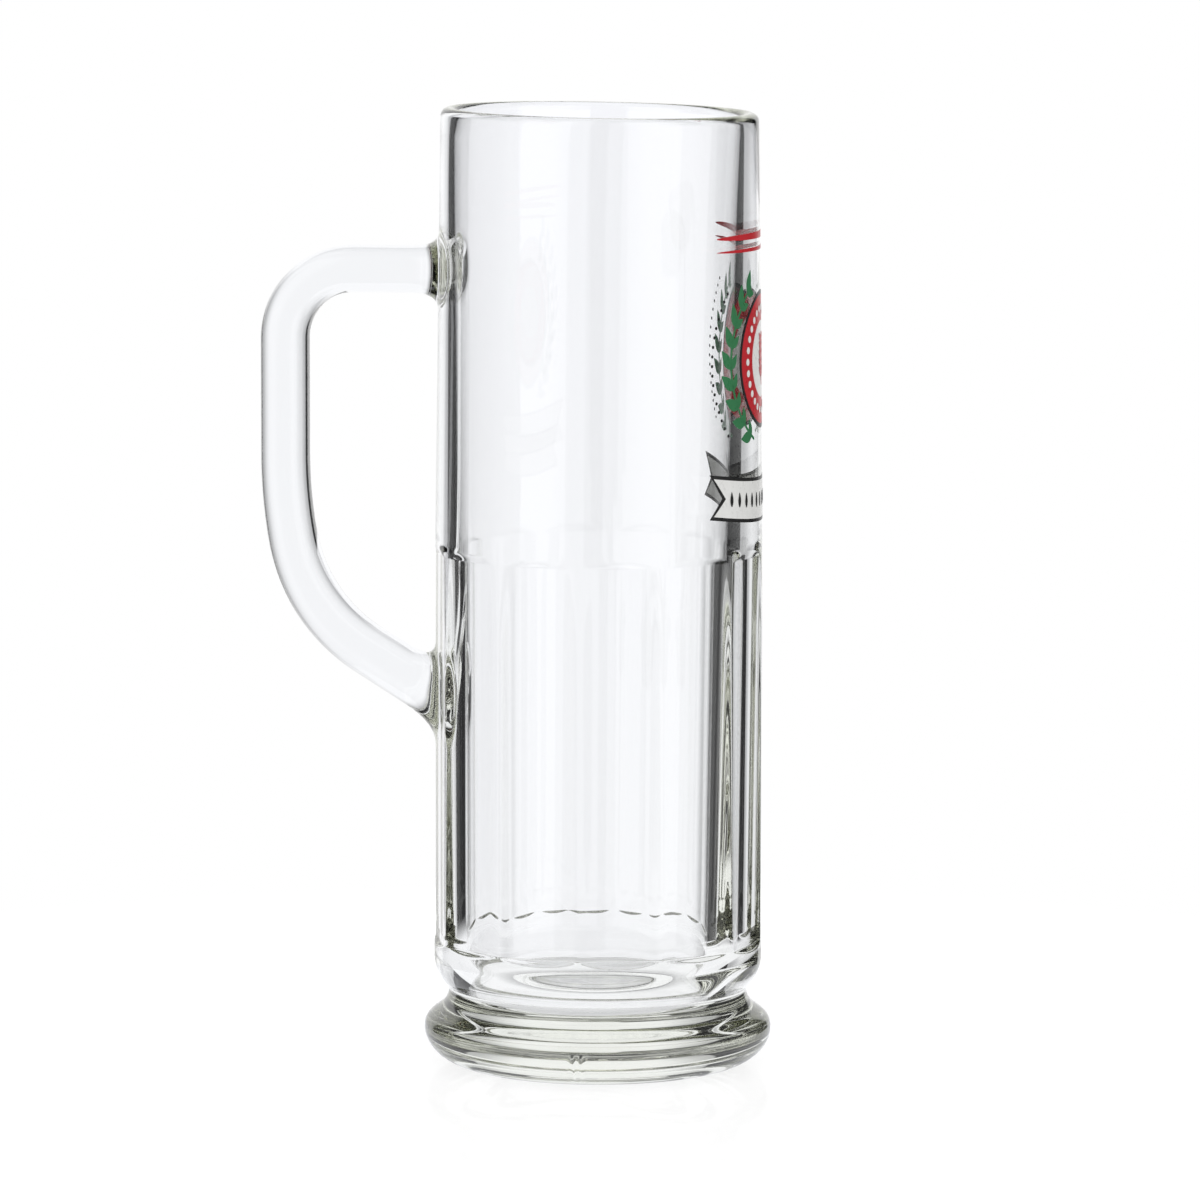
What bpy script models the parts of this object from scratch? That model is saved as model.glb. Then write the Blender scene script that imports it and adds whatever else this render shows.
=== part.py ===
"""Tall half-litre glass beer mug: a panelled glass body on a flared foot, a fused handle, a fired print.

Metres, +Z up. The origin is on the mug's axis, on the table. The handle points to -X, the print to +X.
"""

import math

import bmesh
import bpy
from mathutils import Matrix, Vector

MM = 0.001
DEG = math.pi / 180

# Overall form of the glass
HEIGHT = 215.0 * MM
RIM_RADIUS = 35.5 * MM
BODY_RADIUS = 36.9 * MM
TAPER_START = 100.0 * MM
RIM_WALL = 3.8 * MM

# Base: the body curls in to a neck, and the foot flares out below it
BULGE_HEIGHT = 24.8 * MM
BULGE_ROUND = 9.0 * MM
NECK_DEPTH = 3.4 * MM
NECK_RADIUS = BODY_RADIUS - NECK_DEPTH
FOOT_RADIUS = 39.1 * MM
FOOT_ROUND = 11.0 * MM
LIP_HEIGHT = 8.4 * MM
FLARE_BELOW_NECK = 6.0 * MM
FLARE_ABOVE_LIP = 4.5 * MM
REST_RING_WIDTH = 5.0 * MM
UNDERSIDE_RELIEF = 0.6 * MM

# Inside of the glass: one drafted bore down to a bowl-shaped floor with a slight crease round it
BORE_LOW_RADIUS = 28.8 * MM
FLOOR_HEIGHT = 12.5 * MM
FLOOR_CORNER = 13.0 * MM
FLOOR_RISE = 18.5 * MM
FLOOR_CREASE = 10.0 * DEG

# Flat panels round the lower half, below a plain band
PANEL_COUNT = 12
PLAIN_BAND = 99.0 * MM
PANEL_TOP = HEIGHT - PLAIN_BAND
PANEL_BOTTOM = 28.5 * MM
PANEL_DEPTH = 1.05 * MM
PANEL_RUNOUT = 2.0 * MM
PANEL_LOW_RUNOUT = 1.0 * MM

# Pair of locating ribs on the foot, at the front
RIB_WIDTH = 0.9 * MM
RIB_HEIGHT = 0.45 * MM
RIB_SPACING = 1.9 * MM
RIB_BOTTOM = 1.0 * MM
RIB_TOP = 7.4 * MM

# Handle: its centre line, seen from the side, and its section
HANDLE_BELOW_RIM = 36.0 * MM
HANDLE_TOP = HEIGHT - HANDLE_BELOW_RIM
GRIP_REACH = 71.05 * MM
TOP_BEND = 15.7 * MM
GRIP_LENGTH = 26.0 * MM
GRIP_BOW_RADIUS = 109.0 * MM
GRIP_BOW = 10.2 * DEG
LOWER_BEND = 37.3 * MM
LOWER_SLOPE = 31.4 * DEG
HANDLE_WIDTH = 15.5 * MM
ARM_THICKNESS = 10.6 * MM
GRIP_THICKNESS = 10.6 * MM
LOWER_THICKNESS = 11.6 * MM
ARM_SHARE = 1 / 3
LOWER_SHARE = 1 / 3
SECTION_SQUARENESS = 2.6

# Flared pads, where the handle is fused to the wall: along the rod, up and down the wall, and round it
FLARE_LENGTH = 6.5 * MM
UPPER_SPREAD = 4.2 * MM
LOWER_SPREAD = 5.2 * MM
SIDE_SPREAD = 3.2 * MM

# Fired print, opposite the handle
PRINT_THICKNESS = 0.3 * MM
PRINT_BELOW_RIM = 55.0 * MM
PRINT_CENTRE = HEIGHT - PRINT_BELOW_RIM
MEDALLION_RADIUS = 15.5 * MM
MEDALLION_LINE = 1.0 * MM
MEDALLION_FIELD = 8.6 * MM
WREATH_RADIUS = 19.6 * MM
WREATH_LEAVES = 7
WREATH_STEM = 1.0 * MM
WREATH_LEAF = 2.5 * MM
LEAF_POINTEDNESS = 1.5
LEAF_SHRINKAGE = 0.45
WREATH_START = 24.0 * DEG
WREATH_END = 152.0 * DEG
RIBBON_DROP = 29.0 * MM
RIBBON_CENTRE = PRINT_CENTRE - RIBBON_DROP
RIBBON_HALF_WIDTH = 24.0 * MM
RIBBON_HALF_HEIGHT = 4.6 * MM
RIBBON_NOTCH = 4.0 * MM
RIBBON_LINE = 0.9 * MM
RULE_RISE = 26.5 * MM
RULE_CENTRE = PRINT_CENTRE + RULE_RISE
RULE_SPACING = 3.2 * MM
RULE_HALF_WIDTH = 22.4 * MM
RULE_TIP = 5.0 * MM
WIDE_RULE = 1.5 * MM
FINE_RULE = 0.9 * MM
PRINT_CLEARANCE = 0.45 * MM

# Clearance between pieces that touch on the real mug
SEAT_GAP = 0.3 * MM

# How far a cutter reaches past what it cuts, and how far two neighbouring cutters stay apart
CUTTER_REACH = 3.0 * MM
CUTTER_CLEARANCE = 0.01 * MM

# Faceting
TURN_STEPS = 72
ARC_STEP = 15.0 * DEG
BEND_STEP = 9.0 * DEG
FLARE_STEPS = 8
ARM_STEPS = 12
SECTION_POINTS = 24
OUTLINE_POINTS = 48
LEAF_POINTS = 6
SHARP_ANGLE = 30.0 * DEG
TURN_MERGE = 0.01 * MM
OUTLINE_MERGE = 0.001 * MM

GLASS_COLOUR = (0.93, 0.96, 0.95)
RED = (0.56, 0.02, 0.03)
GREEN = (0.04, 0.20, 0.08)
WHITE = (0.86, 0.86, 0.84)
BLACK = (0.02, 0.02, 0.02)


def clear_scene():
    for item in list(bpy.data.objects):
        bpy.data.objects.remove(item, do_unlink=True)


def new_collection(name):
    collection = bpy.data.collections.new(name)
    bpy.context.scene.collection.children.link(collection)
    return collection


def glass_material(name):
    material = bpy.data.materials.new(name)
    material.use_nodes = True
    shader = material.node_tree.nodes["Principled BSDF"]
    shader.inputs["Base Color"].default_value = (*GLASS_COLOUR, 1.0)
    shader.inputs["Roughness"].default_value = 0.02
    shader.inputs["Metallic"].default_value = 0.0
    shader.inputs["IOR"].default_value = 1.52
    shader.inputs["Transmission Weight"].default_value = 1.0
    return material


def enamel_material(name, colour):
    material = bpy.data.materials.new(name)
    material.use_nodes = True
    shader = material.node_tree.nodes["Principled BSDF"]
    shader.inputs["Base Color"].default_value = (*colour, 1.0)
    shader.inputs["Roughness"].default_value = 0.35
    shader.inputs["Metallic"].default_value = 0.0
    return material


def add_object(name, mesh, collection):
    item = bpy.data.objects.new(name, mesh)
    collection.objects.link(item)
    return item


def hide_cutter(item):
    item.hide_render = True
    item.display_type = "WIRE"


def add_boolean(item, operation, cutter):
    modifier = item.modifiers.new(operation.lower(), "BOOLEAN")
    modifier.operation = operation
    modifier.solver = "EXACT"
    if isinstance(cutter, bpy.types.Collection):
        modifier.operand_type = "COLLECTION"
        modifier.collection = cutter
    else:
        modifier.object = cutter


def shade(item):
    item.data.shade_smooth()
    item.data.set_sharp_from_angle(angle=SHARP_ANGLE)


def arc(centre, width, height, start, end):
    """Points of an elliptical arc with the given half axes, both ends included."""
    count = max(2, math.ceil(abs(end - start) / ARC_STEP))
    points = []
    for index in range(count + 1):
        angle = start + (end - start) * index / count
        points.append((centre[0] + width * math.cos(angle), centre[1] + height * math.sin(angle)))
    return points


def bezier(p0, p1, p2, p3, count):
    """Points of a cubic curve, both ends included."""
    points = []
    for index in range(count + 1):
        t = index / count
        weights = ((1 - t) ** 3, 3 * t * (1 - t) ** 2, 3 * t * t * (1 - t), t ** 3)
        x = sum(w * p[0] for w, p in zip(weights, (p0, p1, p2, p3)))
        z = sum(w * p[1] for w, p in zip(weights, (p0, p1, p2, p3)))
        points.append((x, z))
    return points


def turned(name, profile, collection):
    """Solid of revolution about Z from (radius, height) points that start and end on the axis."""
    mesh = bpy.data.meshes.new(name)
    points = [(radius, 0.0, height) for radius, height in profile]
    edges = [(index, index + 1) for index in range(len(points) - 1)]
    mesh.from_pydata(points, edges, [])
    item = add_object(name, mesh, collection)
    screw = item.modifiers.new("turn", "SCREW")
    screw.axis = "Z"
    screw.angle = math.tau
    screw.steps = TURN_STEPS
    screw.render_steps = TURN_STEPS
    screw.use_merge_vertices = True
    screw.merge_threshold = TURN_MERGE
    screw.use_smooth_shade = True
    return item


def prism(name, outlines, half_depth, collection):
    """Flat outlines, the second and later ones holes, extruded both ways along the local Z axis."""
    curve = bpy.data.curves.new(name, "CURVE")
    curve.dimensions = "2D"
    curve.fill_mode = "BOTH"
    curve.extrude = half_depth
    for outline in outlines:
        spline = curve.splines.new("POLY")
        spline.points.add(len(outline) - 1)
        for point, (x, y) in zip(spline.points, outline):
            point.co = (x, y, 0.0, 1.0)
        spline.use_cyclic_u = True
    source = add_object(name + "_curve", curve, collection)
    bpy.context.view_layer.update()
    depsgraph = bpy.context.evaluated_depsgraph_get()
    mesh = bpy.data.meshes.new_from_object(source.evaluated_get(depsgraph))
    bpy.data.objects.remove(source, do_unlink=True)
    shape = bmesh.new()
    shape.from_mesh(mesh)
    bmesh.ops.remove_doubles(shape, verts=shape.verts, dist=OUTLINE_MERGE)
    bmesh.ops.recalc_face_normals(shape, faces=shape.faces)
    shape.to_mesh(mesh)
    shape.free()
    return add_object(name, mesh, collection)


def wall_radius(height):
    """Outer radius of the plain glass wall, which tapers slightly to the rim."""
    share = max(0.0, (height - TAPER_START) / (HEIGHT - TAPER_START))
    return BODY_RADIUS + (RIM_RADIUS - BODY_RADIUS) * share


def outer_profile(offset):
    """Outside of the glass below the rim, from top to bottom, moved out by offset."""
    curl = math.acos(1 - (BODY_RADIUS - NECK_RADIUS) / BULGE_ROUND)
    bulge = arc((BODY_RADIUS - BULGE_ROUND, BULGE_HEIGHT), BULGE_ROUND, BULGE_ROUND, 0.0, -curl)
    neck = bulge[-1]
    lip = (FOOT_RADIUS, LIP_HEIGHT)
    flare = bezier(
        neck,
        (neck[0], neck[1] - FLARE_BELOW_NECK),
        (lip[0], lip[1] + FLARE_ABOVE_LIP),
        lip,
        FLARE_STEPS,
    )
    foot = arc((FOOT_RADIUS - FOOT_ROUND, LIP_HEIGHT), FOOT_ROUND, LIP_HEIGHT, 0.0, -math.pi / 2)
    points = [(wall_radius(HEIGHT - RIM_WALL / 2), HEIGHT - RIM_WALL / 2)]
    points.append((BODY_RADIUS, TAPER_START))
    points += bulge + flare[1:] + foot[1:]
    return [(radius + offset, height) for radius, height in points]


def floor_profile():
    """Floor of the bore, from its middle out to where the drafted wall starts."""
    middle = (BORE_LOW_RADIUS - FLOOR_CORNER * math.cos(FLOOR_CREASE), FLOOR_HEIGHT + FLOOR_RISE)
    return [(0.0, FLOOR_HEIGHT)] + arc(middle, FLOOR_CORNER, FLOOR_RISE, -math.pi / 2, -FLOOR_CREASE)


def rim_profile():
    """Fire-polished lip, from the inside over the top to the outside."""
    half = RIM_WALL / 2
    centre = (wall_radius(HEIGHT - half) - half, HEIGHT - half)
    return arc(centre, half, half, math.pi, 0.0)


def base_profile():
    """Underside: a rest ring round a shallow relief, from the ring's outer edge to the axis."""
    ring = FOOT_RADIUS - FOOT_ROUND - REST_RING_WIDTH
    return [(ring, 0.0), (ring - UNDERSIDE_RELIEF, UNDERSIDE_RELIEF), (0.0, UNDERSIDE_RELIEF)]


def panel_cutters(name, offset, parent):
    """Ring of wedges that plane the flat panels, each running out in an arch at both ends."""
    collection = bpy.data.collections.new(name)
    parent.children.link(collection)
    flat = BODY_RADIUS - PANEL_DEPTH + offset
    half_width = (BODY_RADIUS - PANEL_DEPTH) * math.tan(math.pi / PANEL_COUNT) - CUTTER_CLEARANCE
    reach = PANEL_DEPTH + CUTTER_REACH
    outline = [
        (flat, PANEL_BOTTOM),
        (flat + reach, PANEL_BOTTOM - PANEL_LOW_RUNOUT * reach / PANEL_DEPTH),
        (flat + reach, PANEL_TOP + PANEL_RUNOUT * reach / PANEL_DEPTH),
        (flat, PANEL_TOP),
    ]
    wedge = prism(name + "_wedge", [outline], half_width, collection)
    wedge.data.transform(Matrix.Rotation(math.pi / 2, 4, "X"))
    for index in range(PANEL_COUNT):
        cutter = wedge
        if index > 0:
            cutter = add_object(f"{name}_{index}", wedge.data, collection)
        cutter.rotation_euler.z = math.tau * (index + 0.5) / PANEL_COUNT
        hide_cutter(cutter)
    return collection


def locating_rib(name, side, cutters):
    """Short rib that follows the round of the foot, at the front."""
    shape = bmesh.new()
    bmesh.ops.create_cone(
        shape,
        cap_ends=True,
        segments=TURN_STEPS,
        radius1=1.0,
        radius2=1.0,
        depth=RIB_WIDTH,
    )
    mesh = bpy.data.meshes.new(name)
    shape.to_mesh(mesh)
    shape.free()
    rib = add_object(name, mesh, cutters)
    rib.data.transform(Matrix.Rotation(math.pi / 2, 4, "Y"))
    rib.data.transform(Matrix.Diagonal((1.0, FOOT_ROUND + RIB_HEIGHT, LIP_HEIGHT + RIB_HEIGHT, 1.0)))
    rib.location = (side * RIB_SPACING / 2, -(FOOT_RADIUS - FOOT_ROUND), LIP_HEIGHT)
    window_mesh = bpy.data.meshes.new(name + "_window")
    window_shape = bmesh.new()
    bmesh.ops.create_cube(window_shape, size=1.0)
    window_shape.to_mesh(window_mesh)
    window_shape.free()
    window_size = (RIB_WIDTH + 2 * CUTTER_REACH, 2 * FOOT_ROUND, RIB_TOP - RIB_BOTTOM)
    window_mesh.transform(Matrix.Diagonal((*window_size, 1.0)))
    window = add_object(name + "_window", window_mesh, cutters)
    window.location = (rib.location.x, -FOOT_RADIUS, (RIB_TOP + RIB_BOTTOM) / 2)
    hide_cutter(window)
    add_boolean(rib, "INTERSECT", window)
    hide_cutter(rib)
    return rib


def glass_body(parts, cutters):
    """Vessel, panelled lower half, thick base and foot, made in one gather of glass."""
    profile = floor_profile() + rim_profile() + outer_profile(0.0)[1:] + base_profile()
    body = turned("glass_body", profile, parts)
    add_boolean(body, "DIFFERENCE", panel_cutters("panels", 0.0, cutters))
    for side, word in ((-1, "left"), (1, "right")):
        add_boolean(body, "UNION", locating_rib(f"locating_rib_{word}", side, cutters))
    body.data.materials.append(glass_material("clear_glass_body"))
    return body


def seat_cutter(cutters):
    """Outside of the glass grown by the seat gap, which shapes the handle's two pads."""
    profile = [(0.0, HEIGHT)] + outer_profile(SEAT_GAP) + [(0.0, 0.0)]
    cutter = turned("handle_seat", profile, cutters)
    add_boolean(cutter, "DIFFERENCE", panel_cutters("seat_panels", SEAT_GAP, cutters))
    hide_cutter(cutter)
    return cutter


def add_straight(stations, run, count):
    """Carry the centre line on in a straight run."""
    x, z, heading = stations[-1]
    for index in range(1, count + 1):
        step = run * index / count
        stations.append((x + step * math.cos(heading), z + step * math.sin(heading), heading))


def add_bend(stations, radius, turn):
    """Carry the centre line on round a bend, always turning the same way."""
    x, z, heading = stations[-1]
    count = max(3, math.ceil(turn / BEND_STEP))
    for index in range(1, count + 1):
        angle = heading + turn * index / count
        along = radius * (math.sin(angle) - math.sin(heading))
        rise = radius * (math.cos(heading) - math.cos(angle))
        stations.append((x + along, z + rise, angle))


def handle_stations():
    """Centre line from inside the upper joint to inside the lower one: (x, z, heading) at each station."""
    sink = FLARE_LENGTH / 2
    start = -wall_radius(HANDLE_TOP) + sink
    stations = [(start, HANDLE_TOP, math.pi)]
    add_straight(stations, start + GRIP_REACH - TOP_BEND, ARM_STEPS)
    add_bend(stations, TOP_BEND, math.pi / 2)
    add_straight(stations, GRIP_LENGTH, 1)
    add_bend(stations, GRIP_BOW_RADIUS, GRIP_BOW)
    add_bend(stations, LOWER_BEND, math.pi / 2 - GRIP_BOW - LOWER_SLOPE)
    x, _, heading = stations[-1]
    add_straight(stations, (-BODY_RADIUS + sink - x) / math.cos(heading), ARM_STEPS)
    return stations


def mix(low, high, share):
    return low + (high - low) * min(1.0, max(0.0, share))


def handle_ring(station, thickness, spread, side_spread, upright):
    """Rounded oblong section square to the centre line, or leaning towards upright at a joint."""
    x, z, heading = station
    normal = Vector((-math.sin(heading), 0.0, math.cos(heading)))
    vertical = Vector((0.0, 0.0, math.copysign(1.0, normal.z)))
    lean = normal.lerp(vertical, upright).normalized()
    half_thickness = (thickness / 2) / normal.dot(lean) + spread
    half_width = HANDLE_WIDTH / 2 + side_spread
    points = []
    for index in range(SECTION_POINTS):
        angle = math.tau * (index + 0.5) / SECTION_POINTS
        power = 2 / SECTION_SQUARENESS
        across = math.copysign(abs(math.cos(angle)) ** power, math.cos(angle)) * half_width
        along = math.copysign(abs(math.sin(angle)) ** power, math.sin(angle)) * half_thickness
        points.append(Vector((x, 0.0, z)) + Vector((0.0, across, 0.0)) + lean * along)
    return points


def loft(name, rings, collection):
    """Closed solid through a row of rings with equal point counts."""
    shape = bmesh.new()
    rows = [[shape.verts.new(point) for point in ring] for ring in rings]
    count = len(rows[0])
    for low, high in zip(rows, rows[1:]):
        for index in range(count):
            after = (index + 1) % count
            shape.faces.new((low[index], low[after], high[after], high[index]))
    shape.faces.new(rows[0])
    shape.faces.new(rows[-1])
    bmesh.ops.recalc_face_normals(shape, faces=shape.faces)
    mesh = bpy.data.meshes.new(name)
    shape.to_mesh(mesh)
    shape.free()
    return add_object(name, mesh, collection)


def handle(parts, cutters):
    """Handle of one glass rod, its two ends flared into pads that follow the wall."""
    stations = handle_stations()
    lengths = [0.0]
    for before, after in zip(stations, stations[1:]):
        lengths.append(lengths[-1] + math.dist(before[:2], after[:2]))
    total = lengths[-1]
    sink = FLARE_LENGTH / 2
    rings = []
    for station, length in zip(stations, lengths):
        share = length / total
        thickness = mix(ARM_THICKNESS, GRIP_THICKNESS, share / ARM_SHARE)
        thickness = mix(thickness, LOWER_THICKNESS, 1 - (1 - share) / LOWER_SHARE)
        from_wall = min(length, total - length) - sink
        flare = max(0.0, 1 - from_wall / FLARE_LENGTH)
        lower = length > total / 2
        spread = LOWER_SPREAD if lower else UPPER_SPREAD
        upright = min(1.0, flare) if lower else 0.0
        rings.append(handle_ring(station, thickness, spread * flare ** 2, SIDE_SPREAD * flare ** 2, upright))
    item = loft("handle", rings, parts)
    add_boolean(item, "DIFFERENCE", seat_cutter(cutters))
    item.data.materials.append(glass_material("clear_glass_handle"))
    return item


def circle(radius, height):
    """Round outline on the print, centred at the given height."""
    points = []
    for index in range(OUTLINE_POINTS):
        angle = math.tau * index / OUTLINE_POINTS
        points.append((radius * math.cos(angle), height + radius * math.sin(angle)))
    return points


def wreath_outline(side):
    """Leafy spray round one side of the medallion: a stem whose edges swell into pointed leaves."""
    outer = []
    inner = []
    count = LEAF_POINTS * WREATH_LEAVES
    for index in range(count + 1):
        share = index / count
        angle = -math.pi / 2 + side * (WREATH_START + (WREATH_END - WREATH_START) * share)
        leaf = math.sin(math.pi * ((share * WREATH_LEAVES) % 1.0)) ** LEAF_POINTEDNESS
        half = WREATH_STEM / 2 + WREATH_LEAF * leaf * (1 - LEAF_SHRINKAGE * share)
        outer.append(((WREATH_RADIUS + half) * math.cos(angle), (WREATH_RADIUS + half) * math.sin(angle)))
        inner.append(((WREATH_RADIUS - half) * math.cos(angle), (WREATH_RADIUS - half) * math.sin(angle)))
    return [(y, PRINT_CENTRE + z) for y, z in outer + inner[::-1]]


def ribbon_outline(margin):
    """Swallow-tailed ribbon, shrunk on all sides by margin."""
    half_height = RIBBON_HALF_HEIGHT - margin
    end = RIBBON_HALF_WIDTH - margin * (1 + RIBBON_NOTCH / RIBBON_HALF_HEIGHT)
    notch = RIBBON_HALF_WIDTH - RIBBON_NOTCH - margin
    right = [(end, -half_height), (notch, 0.0), (end, half_height)]
    left = [(-y, z) for y, z in right[::-1]]
    return [(y, RIBBON_CENTRE + z) for y, z in right + left]


def rule_outline(height, thickness):
    """Straight rule with pointed ends."""
    half = thickness / 2
    shoulder = RULE_HALF_WIDTH - RULE_TIP
    right = [(shoulder, -half), (RULE_HALF_WIDTH, 0.0), (shoulder, half)]
    left = [(-y, z) for y, z in right[::-1]]
    return [(y, height + z) for y, z in right + left]


def print_layer(name, colour, outlines, parts, cutters):
    """One fired colour: a thin skin that follows the wall, trimmed to a flat outline."""
    low = min(z for _, z in outlines[0]) - PRINT_CLEARANCE
    high = max(z for _, z in outlines[0]) + PRINT_CLEARANCE
    heights = [high] + [z for z in (TAPER_START,) if low < z < high] + [low]
    outside = [(wall_radius(z) + SEAT_GAP + PRINT_THICKNESS, z) for z in heights]
    inside = [(wall_radius(z) + SEAT_GAP, z) for z in heights[::-1]]
    layer = turned(name, outside + inside + outside[:1], parts)
    trim = prism(name + "_outline", outlines, BODY_RADIUS, cutters)
    trim.data.transform(Matrix(((0, 0, 1, 0), (1, 0, 0, 0), (0, 1, 0, 0), (0, 0, 0, 1))))
    trim.location.x = BODY_RADIUS + CUTTER_REACH
    hide_cutter(trim)
    add_boolean(layer, "INTERSECT", trim)
    layer.data.materials.append(enamel_material(name + "_enamel", colour))
    return layer


def print_layers(parts, cutters):
    """Generic wreath, medallion, ribbon and rules, one node for each connected patch of enamel."""
    line = MEDALLION_RADIUS - MEDALLION_LINE
    red = line - PRINT_CLEARANCE
    field = MEDALLION_FIELD - PRINT_CLEARANCE
    inset = RIBBON_LINE + PRINT_CLEARANCE
    wide = RULE_CENTRE + RULE_SPACING / 2
    fine = RULE_CENTRE - RULE_SPACING / 2
    layers = [
        ("print_medallion_line", BLACK, [circle(MEDALLION_RADIUS, PRINT_CENTRE), circle(line, PRINT_CENTRE)]),
        ("print_medallion_band", RED, [circle(red, PRINT_CENTRE), circle(MEDALLION_FIELD, PRINT_CENTRE)]),
        ("print_medallion_field", WHITE, [circle(field, PRINT_CENTRE)]),
        ("print_wreath_left", GREEN, [wreath_outline(-1)]),
        ("print_wreath_right", GREEN, [wreath_outline(1)]),
        ("print_ribbon_line", BLACK, [ribbon_outline(0.0), ribbon_outline(RIBBON_LINE)]),
        ("print_ribbon", WHITE, [ribbon_outline(inset)]),
        ("print_wide_rule", RED, [rule_outline(wide, WIDE_RULE)]),
        ("print_fine_rule", RED, [rule_outline(fine, FINE_RULE)]),
    ]
    return [print_layer(name, colour, outlines, parts, cutters) for name, colour, outlines in layers]


def main():
    clear_scene()
    parts = new_collection("beer_mug")
    cutters = new_collection("beer_mug_cutters")
    axis = add_object("mug_axis", None, parts)
    pieces = [glass_body(parts, cutters), handle(parts, cutters)]
    pieces += print_layers(parts, cutters)
    for piece in pieces:
        piece.parent = axis
        shade(piece)


main()
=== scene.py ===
"""Looks of the tall glass beer mug: clear glass with its fused handle, a fired print and a white studio.

Metres, +Z up, in the frame of the CAD model: the handle points to -X and the print to +X.
"""

import math

import bmesh
import bpy
import numpy as np
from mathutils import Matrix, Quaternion, Vector

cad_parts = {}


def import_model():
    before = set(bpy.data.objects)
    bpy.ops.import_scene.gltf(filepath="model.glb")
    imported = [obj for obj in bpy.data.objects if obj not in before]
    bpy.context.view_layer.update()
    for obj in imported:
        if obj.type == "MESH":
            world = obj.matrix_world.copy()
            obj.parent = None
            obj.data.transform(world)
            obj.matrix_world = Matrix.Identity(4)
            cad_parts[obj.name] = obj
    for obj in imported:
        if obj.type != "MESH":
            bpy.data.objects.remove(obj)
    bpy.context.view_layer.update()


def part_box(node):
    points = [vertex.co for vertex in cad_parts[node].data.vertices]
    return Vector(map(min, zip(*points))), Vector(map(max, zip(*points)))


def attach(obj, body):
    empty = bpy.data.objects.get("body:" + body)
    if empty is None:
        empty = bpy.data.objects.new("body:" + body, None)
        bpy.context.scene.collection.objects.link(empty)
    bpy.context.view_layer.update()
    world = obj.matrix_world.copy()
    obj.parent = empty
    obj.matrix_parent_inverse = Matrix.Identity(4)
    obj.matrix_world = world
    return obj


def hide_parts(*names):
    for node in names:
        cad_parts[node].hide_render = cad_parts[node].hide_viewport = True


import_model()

MM = 0.001
DEG = math.pi / 180

# Outside of the glass
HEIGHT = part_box("glass_body")[1].z
FOOT_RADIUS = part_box("glass_body")[1].x
RIM_RADIUS = 35.5 * MM
BODY_RADIUS = 36.9 * MM
TAPER_START = 100.0 * MM
RIM_WALL = 3.8 * MM
BULGE_HEIGHT = 24.8 * MM
BULGE_ROUND = 9.0 * MM
NECK_RADIUS = 33.5 * MM
FOOT_ROUND = 11.0 * MM
LIP_HEIGHT = 8.4 * MM
FLARE_BELOW_NECK = 6.0 * MM
FLARE_ABOVE_LIP = 4.5 * MM
REST_RING_WIDTH = 5.0 * MM
UNDERSIDE_RELIEF = 0.6 * MM
RELIEF_EDGE = 1.2 * MM

# Rim, which leans up towards the handle
RIM_LEAN = 0.95 * DEG
LEAN_START = 120.0 * MM

# Inside of the glass: a drafted bore, slightly off the outer axis as in pressed glass
BORE_TOP_RADIUS = 31.9 * MM
BORE_TOP_DEPTH = 2.0 * MM
BORE_LOW_RADIUS = 28.8 * MM
FLOOR_HEIGHT = 12.5 * MM
FLOOR_CORNER = 13.0 * MM
FLOOR_RISE = 18.5 * MM
FLOOR_CREASE = 10.0 * DEG
CREASE_ROUND = 0.15 * MM
BORE_TOP_OFFSET = -0.5 * MM
BORE_LOW_OFFSET = -1.5 * MM
OFFSET_EASE = 6.0 * MM

# Flat panels round the lower half, with softened ridges
PANEL_COUNT = 12
PANEL_TOP = 116.0 * MM
PANEL_BOTTOM = 28.5 * MM
PANEL_DEPTH = 1.0 * MM
PANEL_RUNOUT = 2.0 * MM
PANEL_LOW_RUNOUT = 1.0 * MM
RIDGE_ROUND = 0.3 * MM

# Pair of locating ribs on the foot, at the front
RIB_WIDTH = 0.9 * MM
RIB_HEIGHT = 0.45 * MM
RIB_SPACING = 1.9 * MM
RIB_BOTTOM = 1.0 * MM
RIB_TOP = 7.4 * MM
RIB_END = 0.8 * MM

# Handle: its centre line, seen from the side, and its section
HANDLE_TOP = 179.0 * MM
HANDLE_SINK = 3.0 * MM
GRIP_REACH = 71.05 * MM
TOP_BEND = 15.7 * MM
GRIP_LENGTH = 26.0 * MM
GRIP_BOW_RADIUS = 109.0 * MM
GRIP_BOW = 10.2 * DEG
LOWER_BEND = 37.3 * MM
LOWER_SLOPE = 31.4 * DEG
HANDLE_WIDTH = 15.5 * MM
ARM_THICKNESS = 10.6 * MM
GRIP_THICKNESS = 10.6 * MM
LOWER_THICKNESS = 11.6 * MM
SECTION_SQUARENESS = 2.6

# Joints of the handle: each fillet reaches a length along the wall and a length along the handle
UPPER_FILLET = (4.2 * MM, 6.0 * MM)
LOWER_FILLET = (5.4 * MM, 7.5 * MM)
JOINT_HALF_HEIGHT = 14.5 * MM
JOINT_SEARCH = 22.0 * MM
SETTLE_LENGTH = 6.0 * MM

# Clear glass
GLASS_IOR = 1.52
GLASS_COLOUR = (0.92, 0.925, 0.87, 1.0)
GLASS_DENSITY = 20.0
GLASS_BOUNCES = 24

# Enamel, a little uneven as a fired coat is
RED = (0.56, 0.02, 0.03)
GREEN = (0.04, 0.20, 0.08)
WHITE = (0.86, 0.86, 0.84)
BLACK = (0.02, 0.02, 0.02)
COAT_GRAIN = 600.0
COAT_THIN = 0.86
COAT_ROUGHNESS = (0.2, 0.4)

# Print: heights and sizes on the unrolled wall
PRINT_LIFT = 0.03 * MM
PRINT_THICKNESS = 0.05 * MM
OVERPRINT_LIFT = 2 * PRINT_THICKNESS
DISC_PINHOLE = 0.02 * MM

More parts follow.
